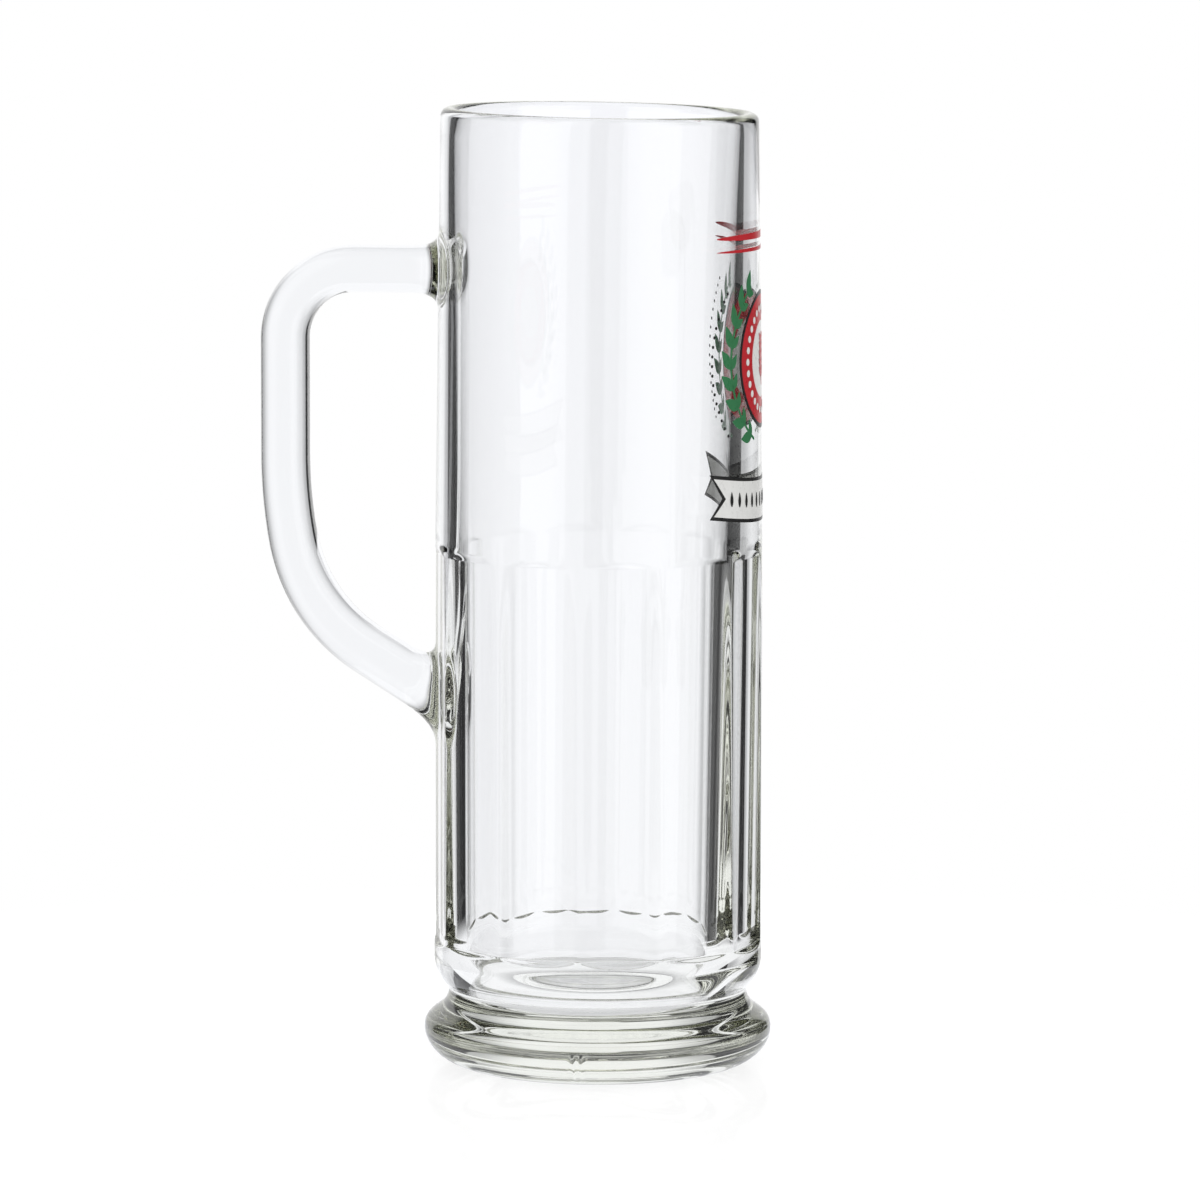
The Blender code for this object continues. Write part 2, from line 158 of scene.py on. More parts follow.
# Medallion with its beads, its barley ear and the dots outside it
MEDALLION_CENTRE = 160.0 * MM
MEDALLION_RADIUS = 15.5 * MM
MEDALLION_LINE = 1.0 * MM
MEDALLION_FIELD = 8.6 * MM
BEAD_COUNT = 28
BEAD_RADIUS = 0.8 * MM
DOT_ARC = 25.6 * MM
DOT_RADIUS = 0.38 * MM
DOT_COUNT = 17
DOT_SPREAD = 38.0 * DEG
EAR_BELOW_CENTRE = 6.2 * MM
EAR_LENGTH = 12.6 * MM
EAR_STALK = 0.9 * MM
GRAIN_PAIRS = 5
GRAIN_START = 2.2 * MM
GRAIN_PITCH = 1.9 * MM
GRAIN_SLANT = 40.0 * DEG
GRAIN_LENGTH = 3.6 * MM
GRAIN_WIDTH = 1.5 * MM

# Wreath: angles up one side of the medallion, from straight below it
WREATH_RADIUS = 19.0 * MM
WREATH_START = 24.0 * DEG
WREATH_END = 152.0 * DEG
WREATH_LEAVES = 9
FIRST_LEAF = 0.4
LEAF_LENGTH = 5.6 * MM
LEAF_WIDTH = 2.6 * MM
LEAF_LEANS = (-38.0 * DEG, 34.0 * DEG)
INNER_LEAF = 0.72
LEAF_TIP = 0.02
LEAF_FULLNESS = 0.8
STEM_WIDTH = 0.7 * MM

# Ribbon with its row of marks
RIBBON_CENTRE = 131.0 * MM
RIBBON_HALF_WIDTH = 26.5 * MM
RIBBON_HALF_HEIGHT = 5.0 * MM
RIBBON_NOTCH = 4.0 * MM
RIBBON_LINE = 0.8 * MM
RIBBON_END_LINE = 1.6 * RIBBON_LINE
RIBBON_SAG = 2.2 * MM
MARK_COUNT = 13
MARK_SPREAD = 0.72
MARK_LENGTH = 3.4 * MM
MARK_WIDTH = 1.1 * MM

# Pair of rules above the medallion
RULE_CENTRE = 186.5 * MM
RULE_SPACING = 3.0 * MM
RULE_HALF_WIDTH = 24.0 * MM
RULE_TIP = 0.995
WIDE_RULE = 1.6 * MM
FINE_RULE = 0.9 * MM

# Mesh density of the glass
COLUMNS_PER_PANEL = 24
COLUMN_CROWDING = 0.25
JOINT_COLUMNS = 17
JOINT_ROWS = 28
PATCH_RINGS = 5
FILLET_RINGS = 10
SETTLE_RINGS = 6
HANDLE_RINGS = 110
PATH_STEPS = 200
SEARCH_STEPS = 40
FLAT_POINTS = 7
RELIEF_STEPS = 8
FOOT_STEPS = 18
FLARE_STEPS = 20
BORE_ROWS = 12
BORE_STEPS = 22
LOW_RUNOUT_ROWS = 26
LOW_PANEL_ROWS = 10
HIGH_PANEL_ROWS = 6
RUNOUT_ROWS = 32
RUNOUT_MARGIN = 1.5 * MM
PLAIN_WALL_ROWS = 10
UNDER_RIM_ROWS = 8

# Mesh density of the print
RING_STEPS = 96
STEM_STEPS = 40
DOT_STEPS = 12
BEAD_STEPS = 14
RING_POINTS = 3
LEAF_POINTS = (13, 5)
RIBBON_POINTS = (49, 13)
EDGE_STEPS = 24
RULE_POINTS = (61, 3)

# Camera
CAMERA_AZIMUTH = 7.0 * DEG
CAMERA_DISTANCE = 1.64
CAMERA_HEIGHT = 0.302
CAMERA_AIM = 0.105
CAMERA_LENS = 220.7
CAMERA_SIDE = 0.3 * MM
CAMERA_ROLL = 0.14 * DEG
CAMERA_REACH = 20.0
SENSOR = 36.0

# Screens as azimuths from and to, then elevations, in degrees; past 90 or 180 a screen has no edge
SCREENS = ((-31, 39, -95, 32), (-31, 14, 30, 50))
SIDE_SCREENS = (
    (-80, 80, -95, -36),
    (-165, -105, -40, 12),
    (120, 165, -40, 12),
    (72, 120, -14, 12),
    (36, 80, -60, -14),
    (-185, 185, 65, 95),
)
MIRRORED_SCREENS = ((-18, 45, -95, 32),)
MIRRORED_SOFTBOXES = ((112, 160, -30, 60), (-146, -88, -30, 60))
SCREEN_EDGE = 2
MIRRORED_EDGE = 6
SOFTBOX_EDGE = 24

# Levels of the world, with the fall-off of the screens behind the mug in degrees from their middle
SCREEN_MIDDLE = 5.0
SCREEN_EVEN = 14.0
SCREEN_HALF = 34.0
SCREEN_END = 0.5
SCREEN_COLOUR = (1.01, 1.02, 1.06, 1.0)
SOFTBOX_LEVEL = 0.7
ROOM_LEVEL = 0.03
FILL_LEVEL = 0.75

# Softboxes at both sides of the camera
SOFTBOX_POWER = 4.0
SOFTBOX_SIZE = (0.8, 1.4)
SOFTBOX_TURN = 45.0 * DEG
SOFTBOX_RISE = 0.45
SOFTBOX_DISTANCE = 1.5
SOFTBOX_AIM = 0.1

# Table
TABLE_RADIUS = 0.27
TABLE_MIDDLE = -0.02
TABLE_DROP = 0.05 * MM
TABLE_SIDES = 96
TABLE_COLOUR = (0.9, 0.9, 0.9, 1.0)
TABLE_GLOW = 1.22
TABLE_SHADOW = 0.28
TABLE_GLOSS = 0.10
TABLE_ROUGHNESS = 0.06
FADE_START = 0.1
FADE_END = 0.24
CARD_RADIUS = 0.12
CARD_EDGE = 0.004
# Painted shadow on the table under the mug, seen only through the glass and in its reflections: its radius
# and its level
PAINTED_SHADOW_RADIUS = 0.036
PAINTED_SHADOW_LEVEL = 0.7


def arc(centre, radius, start, end, count, rise=None):
    """Rows of (radius, height) along an arc with its ends; rise is its height where it isn't round."""
    angles = np.linspace(start, end, count + 1)
    rise = radius if rise is None else rise
    return np.column_stack((centre[0] + radius * np.cos(angles), centre[1] + rise * np.sin(angles)))


def bezier(points, count):
    """Rows along the Bezier curve of some control points, both ends included."""
    share = np.linspace(0.0, 1.0, count + 1)[:, None]
    rows = [np.asarray(point, float) * np.ones_like(share) for point in points]
    while len(rows) > 1:
        rows = [before + (after - before) * share for before, after in zip(rows, rows[1:])]
    return rows[0]


def flat_rows(start, end, height):
    """Rows of (radius, height) along a flat stretch, without its two ends."""
    return np.column_stack((np.linspace(start, end, FLAT_POINTS), np.full(FLAT_POINTS, height)))[1:-1]


def smooth_min(first, second, width):
    """Lesser of two values, with the corner between them rounded over width."""
    share = np.clip(0.5 + 0.5 * (second - first) / width, 0.0, 1.0)
    return second + (first - second) * share - width * share * (1 - share)


def turned(radius, angle, height):
    """Places at a distance from the axis, an angle round it and a height."""
    x = radius * np.cos(angle)
    return np.stack((x, radius * np.sin(angle), height * np.ones_like(x)), axis=-1)


def wall_radius(height):
    """Outer radius of the plain wall, which tapers slightly to the rim."""
    share = np.clip((height - TAPER_START) / (HEIGHT - TAPER_START), 0.0, 1.0)
    return BODY_RADIUS + (RIM_RADIUS - BODY_RADIUS) * share


def planed(radius, angle, height):
    """Radius at an angle after the flat panels are planed off, each running out in an arch at both ends."""
    pitch = math.tau / PANEL_COUNT
    from_middle = np.mod(angle, pitch) - pitch / 2
    beyond = np.maximum((height - PANEL_TOP) / PANEL_RUNOUT, (PANEL_BOTTOM - height) / PANEL_LOW_RUNOUT)
    rise = np.maximum(0.0, beyond) * PANEL_DEPTH
    plane = (BODY_RADIUS - PANEL_DEPTH + rise) / np.cos(from_middle)
    return smooth_min(radius, plane, RIDGE_ROUND)


def wall_point(angle, height):
    """Point on the outside of the wall above the bulge."""
    return turned(planed(wall_radius(height), angle, height), angle, height)


def handle_path():
    """Centre line from inside the upper wall to inside the lower one: x, z and heading over its length."""
    lower_turn = math.pi / 2 - GRIP_BOW - LOWER_SLOPE
    x = -wall_radius(HANDLE_TOP) + HANDLE_SINK
    z = HANDLE_TOP
    heading = math.pi
    rows = [(x, z, heading)]
    arm = GRIP_REACH - TOP_BEND + x
    for radius, turn, run in ((0.0, 0.0, arm), (TOP_BEND, math.pi / 2, GRIP_LENGTH),
                              (GRIP_BOW_RADIUS, GRIP_BOW, 0.0), (LOWER_BEND, lower_turn, 0.0)):
        for _ in range(PATH_STEPS if turn > 0 else 0):
            step = turn / PATH_STEPS
            x += radius * step * math.cos(heading + step / 2)
            z += radius * step * math.sin(heading + step / 2)
            heading += step
            rows.append((x, z, heading))
        if run > 0:
            x += run * math.cos(heading)
            z += run * math.sin(heading)
            rows.append((x, z, heading))
    run = (-BODY_RADIUS + HANDLE_SINK - x) / math.cos(heading)
    rows.append((x + run * math.cos(heading), z + run * math.sin(heading), heading))
    rows = np.array(rows)
    lengths = np.concatenate(([0.0], np.cumsum(np.hypot(*np.diff(rows[:, :2], axis=0).T))))
    return lengths, rows


def handle_point(path, length, turn):
    """Point on the handle's surface at a length along its path and a turn round its section."""
    lengths, rows = path
    x, z, heading = (np.interp(length, lengths, rows[:, column]) for column in range(3))
    share = length / lengths[-1]
    thickness = np.interp(share, (0.0, 1 / 3, 2 / 3, 1.0),
                          (ARM_THICKNESS, GRIP_THICKNESS, GRIP_THICKNESS, LOWER_THICKNESS))
    power = SECTION_SQUARENESS
    reach = (np.abs(np.cos(turn)) ** power + np.abs(np.sin(turn)) ** power) ** (-1 / power)
    across = -reach * np.cos(turn) * HANDLE_WIDTH / 2
    outward = reach * np.sin(turn) * thickness / 2
    return np.stack((x + outward * np.sin(heading), across, z - outward * np.cos(heading)), axis=-1)


def column_angles():
    """Angles of the mesh's columns, crowded at the ridges between the panels."""
    half = COLUMNS_PER_PANEL // 2
    place = np.arange(-half, half) / half
    offset = math.pi / PANEL_COUNT * (COLUMN_CROWDING * place + (1 - COLUMN_CROWDING) * place ** 3)
    ridges = np.arange(PANEL_COUNT) * math.tau / PANEL_COUNT
    return (ridges[:, None] + offset[None, :]).ravel()


def joint_centres(path):
    """Heights where the handle's centre line meets the wall, upper and lower."""
    x, z, heading = path[1][-1]
    back = (x + BODY_RADIUS) / math.cos(heading)
    return HANDLE_TOP, z - back * math.sin(heading)


def wall_levels(upper, lower):
    """Heights of the wall's rows, and the row where each joint's patch starts."""
    low_panel = PANEL_BOTTOM + RUNOUT_MARGIN
    runout = PANEL_TOP - RUNOUT_MARGIN
    plain_wall = PANEL_TOP + PANEL_RUNOUT + RUNOUT_MARGIN
    spans = (
        (BULGE_HEIGHT, low_panel, LOW_RUNOUT_ROWS),
        (low_panel, lower - JOINT_HALF_HEIGHT, LOW_PANEL_ROWS),
        (lower - JOINT_HALF_HEIGHT, lower + JOINT_HALF_HEIGHT, JOINT_ROWS),
        (lower + JOINT_HALF_HEIGHT, runout, HIGH_PANEL_ROWS),
        (runout, plain_wall, RUNOUT_ROWS),
        (plain_wall, upper - JOINT_HALF_HEIGHT, PLAIN_WALL_ROWS),
        (upper - JOINT_HALF_HEIGHT, upper + JOINT_HALF_HEIGHT, JOINT_ROWS),
        (upper + JOINT_HALF_HEIGHT, HEIGHT - RIM_WALL / 2, UNDER_RIM_ROWS),
    )
    levels = np.concatenate([np.linspace(low, high, rows, endpoint=False) for low, high, rows in spans])
    lower_row = sum(span[2] for span in spans[:2])
    upper_row = sum(span[2] for span in spans[:6])
    return levels, upper_row, lower_row


def neck_curl():
    """Angle of the bulge's curl, from the straight wall in to the neck."""
    return math.acos(1 - (BODY_RADIUS - NECK_RADIUS) / BULGE_ROUND)


def foot_profile():
    """Underside, rest ring, rounded lip and flare, from the axis out and up to the neck."""
    ring = FOOT_RADIUS - FOOT_ROUND - REST_RING_WIDTH
    edge = ring - RELIEF_EDGE
    middle = (edge + ring) / 2
    step_in = ((edge, UNDERSIDE_RELIEF), (middle, UNDERSIDE_RELIEF), (middle, 0.0), (ring, 0.0))
    lip = arc((FOOT_RADIUS - FOOT_ROUND, LIP_HEIGHT), FOOT_ROUND, -math.pi / 2, 0.0, FOOT_STEPS, LIP_HEIGHT)
    neck_height = BULGE_HEIGHT - BULGE_ROUND * math.sin(neck_curl())
    flare = (
        lip[-1],
        (FOOT_RADIUS, LIP_HEIGHT + FLARE_ABOVE_LIP),
        (NECK_RADIUS, neck_height - FLARE_BELOW_NECK),
        (NECK_RADIUS, neck_height),
    )
    return np.concatenate((
        flat_rows(0.0, edge, UNDERSIDE_RELIEF),
        bezier(step_in, RELIEF_STEPS),
        lip,
        bezier(flare, FLARE_STEPS)[1:-1],
    ))


def bulge_profile():
    """Curl of the body above the neck, from the neck up to the straight wall."""
    return arc((BODY_RADIUS - BULGE_ROUND, BULGE_HEIGHT), BULGE_ROUND, -neck_curl(), 0.0, FOOT_STEPS)[:-1]


def bore_profile():
    """Fire-polished lip and the drafted inside, from the outer edge of the lip down to the floor."""
    half = RIM_WALL / 2
    lip = arc((wall_radius(HEIGHT - half) - half, HEIGHT - half), half, 0.0, math.pi, BORE_STEPS)
    centre = (BORE_LOW_RADIUS - FLOOR_CORNER * math.cos(FLOOR_CREASE), FLOOR_HEIGHT + FLOOR_RISE)
    corner = arc(centre, FLOOR_CORNER, -FLOOR_CREASE, -math.pi / 2, BORE_STEPS, FLOOR_RISE)
    top = np.array((BORE_TOP_RADIUS, HEIGHT - RIM_WALL - BORE_TOP_DEPTH))
    down = (corner[0] - top) / np.linalg.norm(corner[0] - top)
    into = (corner[1] - corner[0]) / np.linalg.norm(corner[1] - corner[0])
    crease = corner[0] + CREASE_ROUND * np.array((-down, into))
    straight = np.linspace(top, crease[0], BORE_ROWS, endpoint=False)
    floor = flat_rows(corner[-1][0], 0.0, FLOOR_HEIGHT)
    return np.concatenate((lip, straight, crease, corner[1:], floor))


def bore_offset(height):
    """How far the bore lies off the outer axis, along X: nothing at the lip, easing in below it."""
    share = np.clip((HEIGHT - RIM_WALL / 2 - height) / OFFSET_EASE, 0.0, 1.0)
    offset = np.interp(height, (FLOOR_HEIGHT, HEIGHT), (BORE_LOW_OFFSET, BORE_TOP_OFFSET))
    return offset * share * share * (3 - 2 * share)


def foot_rib(angle, height):
    """How far the two locating ribs stand out at the front of the foot."""
    along = (np.mod(angle + math.pi / 2 + math.pi, math.tau) - math.pi) * FOOT_RADIUS
    shape = np.zeros_like(along)
    for side in (-0.5, 0.5):
        from_rib = np.clip(np.abs(along - side * RIB_SPACING) / (RIB_WIDTH / 2), 0.0, 1.0)
        shape = shape + np.cos(from_rib * math.pi / 2) ** 2
    low = np.clip((height - RIB_BOTTOM) / RIB_END, 0.0, 1.0)
    high = np.clip((RIB_TOP - height) / RIB_END, 0.0, 1.0)
    return RIB_HEIGHT * shape * low * high


def body_rows(angles, levels):
    """Rows of the turned surface, up the outside and down the bore, and which is the wall's first."""
    foot = foot_profile()
    foot_height = foot[:, 1:]
    foot_rows = turned(foot[:, :1] + foot_rib(angles, foot_height), angles, foot_height)
    bulge = bulge_profile()
    bulge_height = bulge[:, 1:]
    bulge_rows = turned(planed(bulge[:, :1], angles, bulge_height), angles, bulge_height)
    wall_rows = wall_point(angles, levels[:, None])
    bore = bore_profile()
    bore_height = bore[:, 1:]
    bore_rows = turned(bore[:, :1], angles, bore_height)
    bore_rows[..., 0] += bore_offset(bore_height)
    rows = np.concatenate((foot_rows, bulge_rows, wall_rows, bore_rows))
    return leaned(rows), len(foot_rows) + len(bulge_rows)


def leaned(points):
    """Points with the rim leaned up towards the handle, and the lower half left level."""
    share = np.clip((points[..., 2] - LEAN_START) / (HEIGHT - LEAN_START), 0.0, 1.0)
    points[..., 2] -= math.tan(RIM_LEAN) * points[..., 0] * share ** 3
    return points


class Surface:
    """Points and faces of one mesh, grown ring by ring."""

    def __init__(self):
        self.points = []
        self.faces = []

    def add(self, points):
        """Adds points and gives their numbers."""
        start = len(self.points)
        self.points.extend(map(tuple, points))
        return list(range(start, len(self.points)))

    def strip(self, low, high):
        """Faces between two closed rings of equal length."""
        for here in range(len(low)):
            after = (here + 1) % len(low)
            self.faces.append((low[here], low[after], high[after], high[here]))

    def mesh(self, name):
        """Smooth mesh of these points and faces."""
        mesh = bpy.data.meshes.new(name)
        mesh.from_pydata(self.points, [], self.faces)
        mesh.shade_smooth()
        mesh.update()
        return mesh


def patch_loop(first_row, first_column):
    """Grid places round the edge of a joint's patch, counter-clockwise seen from outside."""
    last_row = first_row + JOINT_ROWS
    last_column = first_column + 2 * JOINT_COLUMNS
    loop = [(first_row, column) for column in range(first_column, last_column)]
    loop += [(row, last_column) for row in range(first_row, last_row)]
    loop += [(last_row, column) for column in range(last_column, first_column, -1)]
    loop += [(row, first_column) for row in range(last_row, first_row, -1)]
    return loop


def meeting_lengths(path, turn, upper):
    """Length along the handle at which each line of its surface meets the wall, found by halving."""
    total = path[0][-1]
    sign = 1.0 if upper else -1.0
    buried = np.full_like(turn, 0.0 if upper else total)
    clear = buried + sign * JOINT_SEARCH
    for _ in range(SEARCH_STEPS):
        middle = (buried + clear) / 2
        points = handle_point(path, middle, turn)
        angle = np.arctan2(points[:, 1], points[:, 0])
        radius = planed(wall_radius(points[:, 2]), angle, points[:, 2])
        inside = np.hypot(points[:, 0], points[:, 1]) < radius
        buried = np.where(inside, middle, buried)
        clear = np.where(inside, clear, middle)
    return (buried + clear) / 2


def joint_rings(surface, path, angles, levels, loop, first_row, centre, upper):
    """Rings from the edge of a patch over the wall, up the fillet and onto the handle."""
    angle = angles[[column for row, column in loop]]
    height = levels[[row - first_row for row, column in loop]]
    along = (angle - math.pi) * BODY_RADIUS
    up = height - centre
    turn = np.arctan2(up / JOINT_HALF_HEIGHT, along / along.max())
    handle_turn = turn if upper else -turn
    meeting = meeting_lengths(path, handle_turn, upper)
    corner = handle_point(path, meeting, handle_turn)
    corner_along = (np.mod(np.arctan2(corner[:, 1], corner[:, 0]), math.tau) - math.pi) * BODY_RADIUS
    corner_up = corner[:, 2] - centre
    distance = np.hypot(corner_along, corner_up)
    on_wall_side, on_handle_side = UPPER_FILLET if upper else LOWER_FILLET
    wall_along = corner_along * (1 + on_wall_side / distance)
    wall_up = corner_up * (1 + on_wall_side / distance)
    sign = 1.0 if upper else -1.0
    start = meeting + sign * on_handle_side
    handle_start = handle_point(path, start, handle_turn)
    rings = []
    for index in range(1, PATCH_RINGS + 1):
        share = index / PATCH_RINGS
        here_along = along + (wall_along - along) * share
        here_up = up + (wall_up - up) * share
        rings.append(wall_point(math.pi + here_along / BODY_RADIUS, centre + here_up))
    wall = rings[-1]
    for index in range(1, FILLET_RINGS + 1):
        share = index / FILLET_RINGS
        weights = ((1 - share) ** 2, 2 * share * (1 - share), share ** 2)
        rings.append(weights[0] * wall + weights[1] * corner + weights[2] * handle_start)
    return [surface.add(ring) for ring in rings], handle_turn, start


def glass_mesh():
    """Body and handle as one closed surface, because the handle is fused to the hot body."""
    path = handle_path()
    angles = column_angles()
    upper, lower = joint_centres(path)
    levels, upper_row, lower_row = wall_levels(upper, lower)
    rows, first_wall = body_rows(angles, levels)
    surface = Surface()
    grid = [surface.add(row) for row in rows]
    handle_column = COLUMNS_PER_PANEL * PANEL_COUNT // 2 + COLUMNS_PER_PANEL // 2
    first_column = handle_column - JOINT_COLUMNS
    starts = {True: first_wall + upper_row, False: first_wall + lower_row}
    patch_columns = range(first_column, first_column + 2 * JOINT_COLUMNS)
    removed = set()
    for start in starts.values():
        for row in range(start, start + JOINT_ROWS):
            removed.update((row, column) for column in patch_columns)
    columns = len(angles)
    for row in range(len(grid) - 1):
        for column in range(columns):
            if (row, column) not in removed:
                after = (column + 1) % columns
                surface.faces.append(
                    (grid[row][column], grid[row][after], grid[row + 1][after], grid[row + 1][column])
                )
    for ring, centre, order in ((grid[0], (0.0, 0.0, UNDERSIDE_RELIEF), -1),
                                (grid[-1], (BORE_LOW_OFFSET, 0.0, FLOOR_HEIGHT), 1)):
        middle = surface.add([centre])[0]
        for column in range(columns):
            pair = (ring[column], ring[(column + 1) % columns])[::order]
            surface.faces.append((*pair, middle))
    ends = {}
    for is_upper, centre in ((True, upper), (False, lower)):
        loop = patch_loop(starts[is_upper], first_column)
        rings, turn, start = joint_rings(surface, path, angles, levels, loop, first_wall, centre, is_upper)
        edge = [grid[row][column] for row, column in loop]
        for low, high in zip([edge] + rings, rings):
            surface.strip(low, high)
        ends[is_upper] = (rings[-1], turn, start)
    join_handle(surface, path, ends)
    keep_used_points(surface)
    return surface.mesh("glass_mug")


def join_handle(surface, path, ends):
    """Rings of the handle between its two joints."""
    upper_ring, upper_turn, upper_start = ends[True]
    lower_ring, lower_turn, lower_start = ends[False]
    top_left = 4 * JOINT_COLUMNS + JOINT_ROWS
    order = [(top_left - index) % len(lower_ring) for index in range(len(lower_ring))]
    lower_ring = [lower_ring[index] for index in order]
    lower_turn = lower_turn[order]
    lower_start = lower_start[order]
    swing = np.mod(lower_turn - upper_turn + math.pi, math.tau) - math.pi
    low = upper_start.max() + SETTLE_LENGTH
    high = lower_start.min() - SETTLE_LENGTH
    previous = upper_ring
    for index in range(1, SETTLE_RINGS):
        share = index / SETTLE_RINGS
        previous = next_ring(surface, path, previous, upper_start + (low - upper_start) * share, upper_turn)
    for index in range(HANDLE_RINGS + 1):
        share = index / HANDLE_RINGS
        length = np.full_like(upper_turn, low + (high - low) * share)
        previous = next_ring(surface, path, previous, length, upper_turn + swing * share)
    for index in range(1, SETTLE_RINGS):
        share = index / SETTLE_RINGS
        previous = next_ring(surface, path, previous, high + (lower_start - high) * share, lower_turn)
    surface.strip(previous, lower_ring)


def next_ring(surface, path, previous, length, turn):
    """One more ring of the handle, joined to the ring before it."""
    ring = surface.add(handle_point(path, length, turn))
    surface.strip(previous, ring)
    return ring


def keep_used_points(surface):
    """Drops the points of the removed patches, which no face uses."""
    used = sorted({point for face in surface.faces for point in face})
    number = {point: index for index, point in enumerate(used)}
    surface.points = [surface.points[point] for point in used]
    surface.faces = [tuple(number[point] for point in face) for face in surface.faces]


def add_object(name, data):
    """New object in the scene."""
    item = bpy.data.objects.new(name, data)
    bpy.context.scene.collection.objects.link(item)
    return item


def glass_material():
    """Clear glass with a faint yellow-green tint where it is thick."""
    material = bpy.data.materials.new("clear_glass")
    material.use_nodes = True
    shader = material.node_tree.nodes["Principled BSDF"]
    shader.inputs["Base Color"].default_value = (1.0, 1.0, 1.0, 1.0)
    shader.inputs["Roughness"].default_value = 0.0
    shader.inputs["IOR"].default_value = GLASS_IOR
    shader.inputs["Transmission Weight"].default_value = 1.0
    absorption = material.node_tree.nodes.new("ShaderNodeVolumeAbsorption")
    absorption.inputs["Color"].default_value = GLASS_COLOUR
    absorption.inputs["Density"].default_value = GLASS_DENSITY
    output = material.node_tree.nodes["Material Output"]
    material.node_tree.links.new(absorption.outputs[0], output.inputs["Volume"])
    return material


def glass():
    """Body and handle in place of their two solids."""
    mesh = glass_mesh()
    mesh.materials.append(glass_material())
    item = add_object("glass_mug", mesh)
    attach(item, "root")
    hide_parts("glass_body", "handle")


def on_wall(along, height, lift):
    """Places over the plain wall, from distances along it and heights."""
    return leaned(turned(wall_radius(height) + lift, along / BODY_RADIUS, height))


def skin(surface, along, height, closed=False, lift=0.0):
    """Adds one patch of enamel: a grid of places on the wall, given a little thickness."""
    rows, columns = along.shape
    layers = []
    for over in (PRINT_LIFT + lift, PRINT_LIFT + PRINT_THICKNESS + lift):
        points = on_wall(along, height, over).reshape(-1, 3)
        layers.append(np.array(surface.add(points)).reshape(rows, columns).tolist())
    low, high = layers
    for row in range(rows if closed else rows - 1):
        after = (row + 1) % rows
        for column in range(columns - 1):
            for layer in layers:
                surface.faces.append((layer[row][column], layer[row][column + 1],
                                      layer[after][column + 1], layer[after][column]))
        for column in (0, columns - 1):
            surface.faces.append((low[row][column], high[row][column],
                                  high[after][column], low[after][column]))
    if not closed:
        for row in (0, rows - 1):
            for column in range(columns - 1):
                surface.faces.append((low[row][column], low[row][column + 1],
                                      high[row][column + 1], high[row][column]))


def ring_skin(surface, centre, inner, outer, start=0.0, end=math.tau, steps=RING_STEPS, lift=0.0):
    """Ring or part of a ring of enamel about a centre on the unrolled wall."""
    whole = end - start >= math.tau
    angles = np.linspace(start, end, steps, endpoint=not whole)[:, None]
    radius = np.linspace(inner, outer, RING_POINTS)[None, :]
    skin(surface, centre[0] + radius * np.cos(angles), centre[1] + radius * np.sin(angles), whole, lift)


def leaf_skin(surface, base, heading, length, width, lift=0.0):
    """Pointed leaf of enamel that starts at a base and points along a heading."""
    share = np.linspace(LEAF_TIP, 1 - LEAF_TIP, LEAF_POINTS[0])[:, None]
    breadth = width * np.sin(math.pi * share ** LEAF_FULLNESS)
    across = np.linspace(-0.5, 0.5, LEAF_POINTS[1])[None, :] * breadth
    along = base[0] + share * length * math.cos(heading) - across * math.sin(heading)
    height = base[1] + share * length * math.sin(heading) + across * math.cos(heading)
    skin(surface, along, height, lift=lift)


def enamel(slot, colour):
    """Material slot of the record and its glossy enamel, uneven in tone and in gloss."""
    material = bpy.data.materials.new(slot)
    material.use_nodes = True
    tree = material.node_tree
    shader = tree.nodes["Principled BSDF"]
    grain = tree.nodes.new("ShaderNodeTexNoise")
    grain.inputs["Scale"].default_value = COAT_GRAIN
    tree.links.new(tree.nodes.new("ShaderNodeTexCoord").outputs["Object"], grain.inputs["Vector"])
    tone = tree.nodes.new("ShaderNodeMix")
    tone.data_type = "RGBA"
    tone.inputs["A"].default_value = (*(COAT_THIN * channel for channel in colour), 1.0)
    tone.inputs["B"].default_value = (*colour, 1.0)
    tree.links.new(grain.outputs["Fac"], tone.inputs["Factor"])
    tree.links.new(tone.outputs["Result"], shader.inputs["Base Color"])
    gloss = tree.nodes.new("ShaderNodeMapRange")
    tree.links.new(grain.outputs["Fac"], gloss.inputs["Value"])
    gloss.inputs["To Min"].default_value, gloss.inputs["To Max"].default_value = COAT_ROUGHNESS
    tree.links.new(gloss.outputs["Result"], shader.inputs["Roughness"])
    return slot, material


def print_piece(node, surface, coat):
    """One deposit of enamel in place of its solid in the CAD model."""
    mesh = surface.mesh(node)
    work = bmesh.new()
    work.from_mesh(mesh)
    bmesh.ops.recalc_face_normals(work, faces=work.faces)
    work.to_mesh(mesh)
    work.free()
    mesh.shade_flat()
    slot, material = coat
    mesh.materials.append(material)
    item = add_object("look_" + node, mesh)
    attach(item, "root")
    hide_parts(node)


def round_medallion(distance, angle):
    """Place on the unrolled wall at a distance and an angle from the medallion's centre."""
    return distance * math.cos(angle), MEDALLION_CENTRE + distance * math.sin(angle)


def medallion_line(black):
    """Black line round the medallion, and an arc of dots at each side."""
    line = Surface()
    ring_skin(line, (0.0, MEDALLION_CENTRE), MEDALLION_RADIUS - MEDALLION_LINE, MEDALLION_RADIUS)
    for side in (0.0, math.pi):
        for angle in side + np.linspace(-DOT_SPREAD, DOT_SPREAD, DOT_COUNT):
            ring_skin(line, round_medallion(DOT_ARC, angle), DISC_PINHOLE, DOT_RADIUS, steps=DOT_STEPS)
    print_piece("print_medallion_line", line, black)


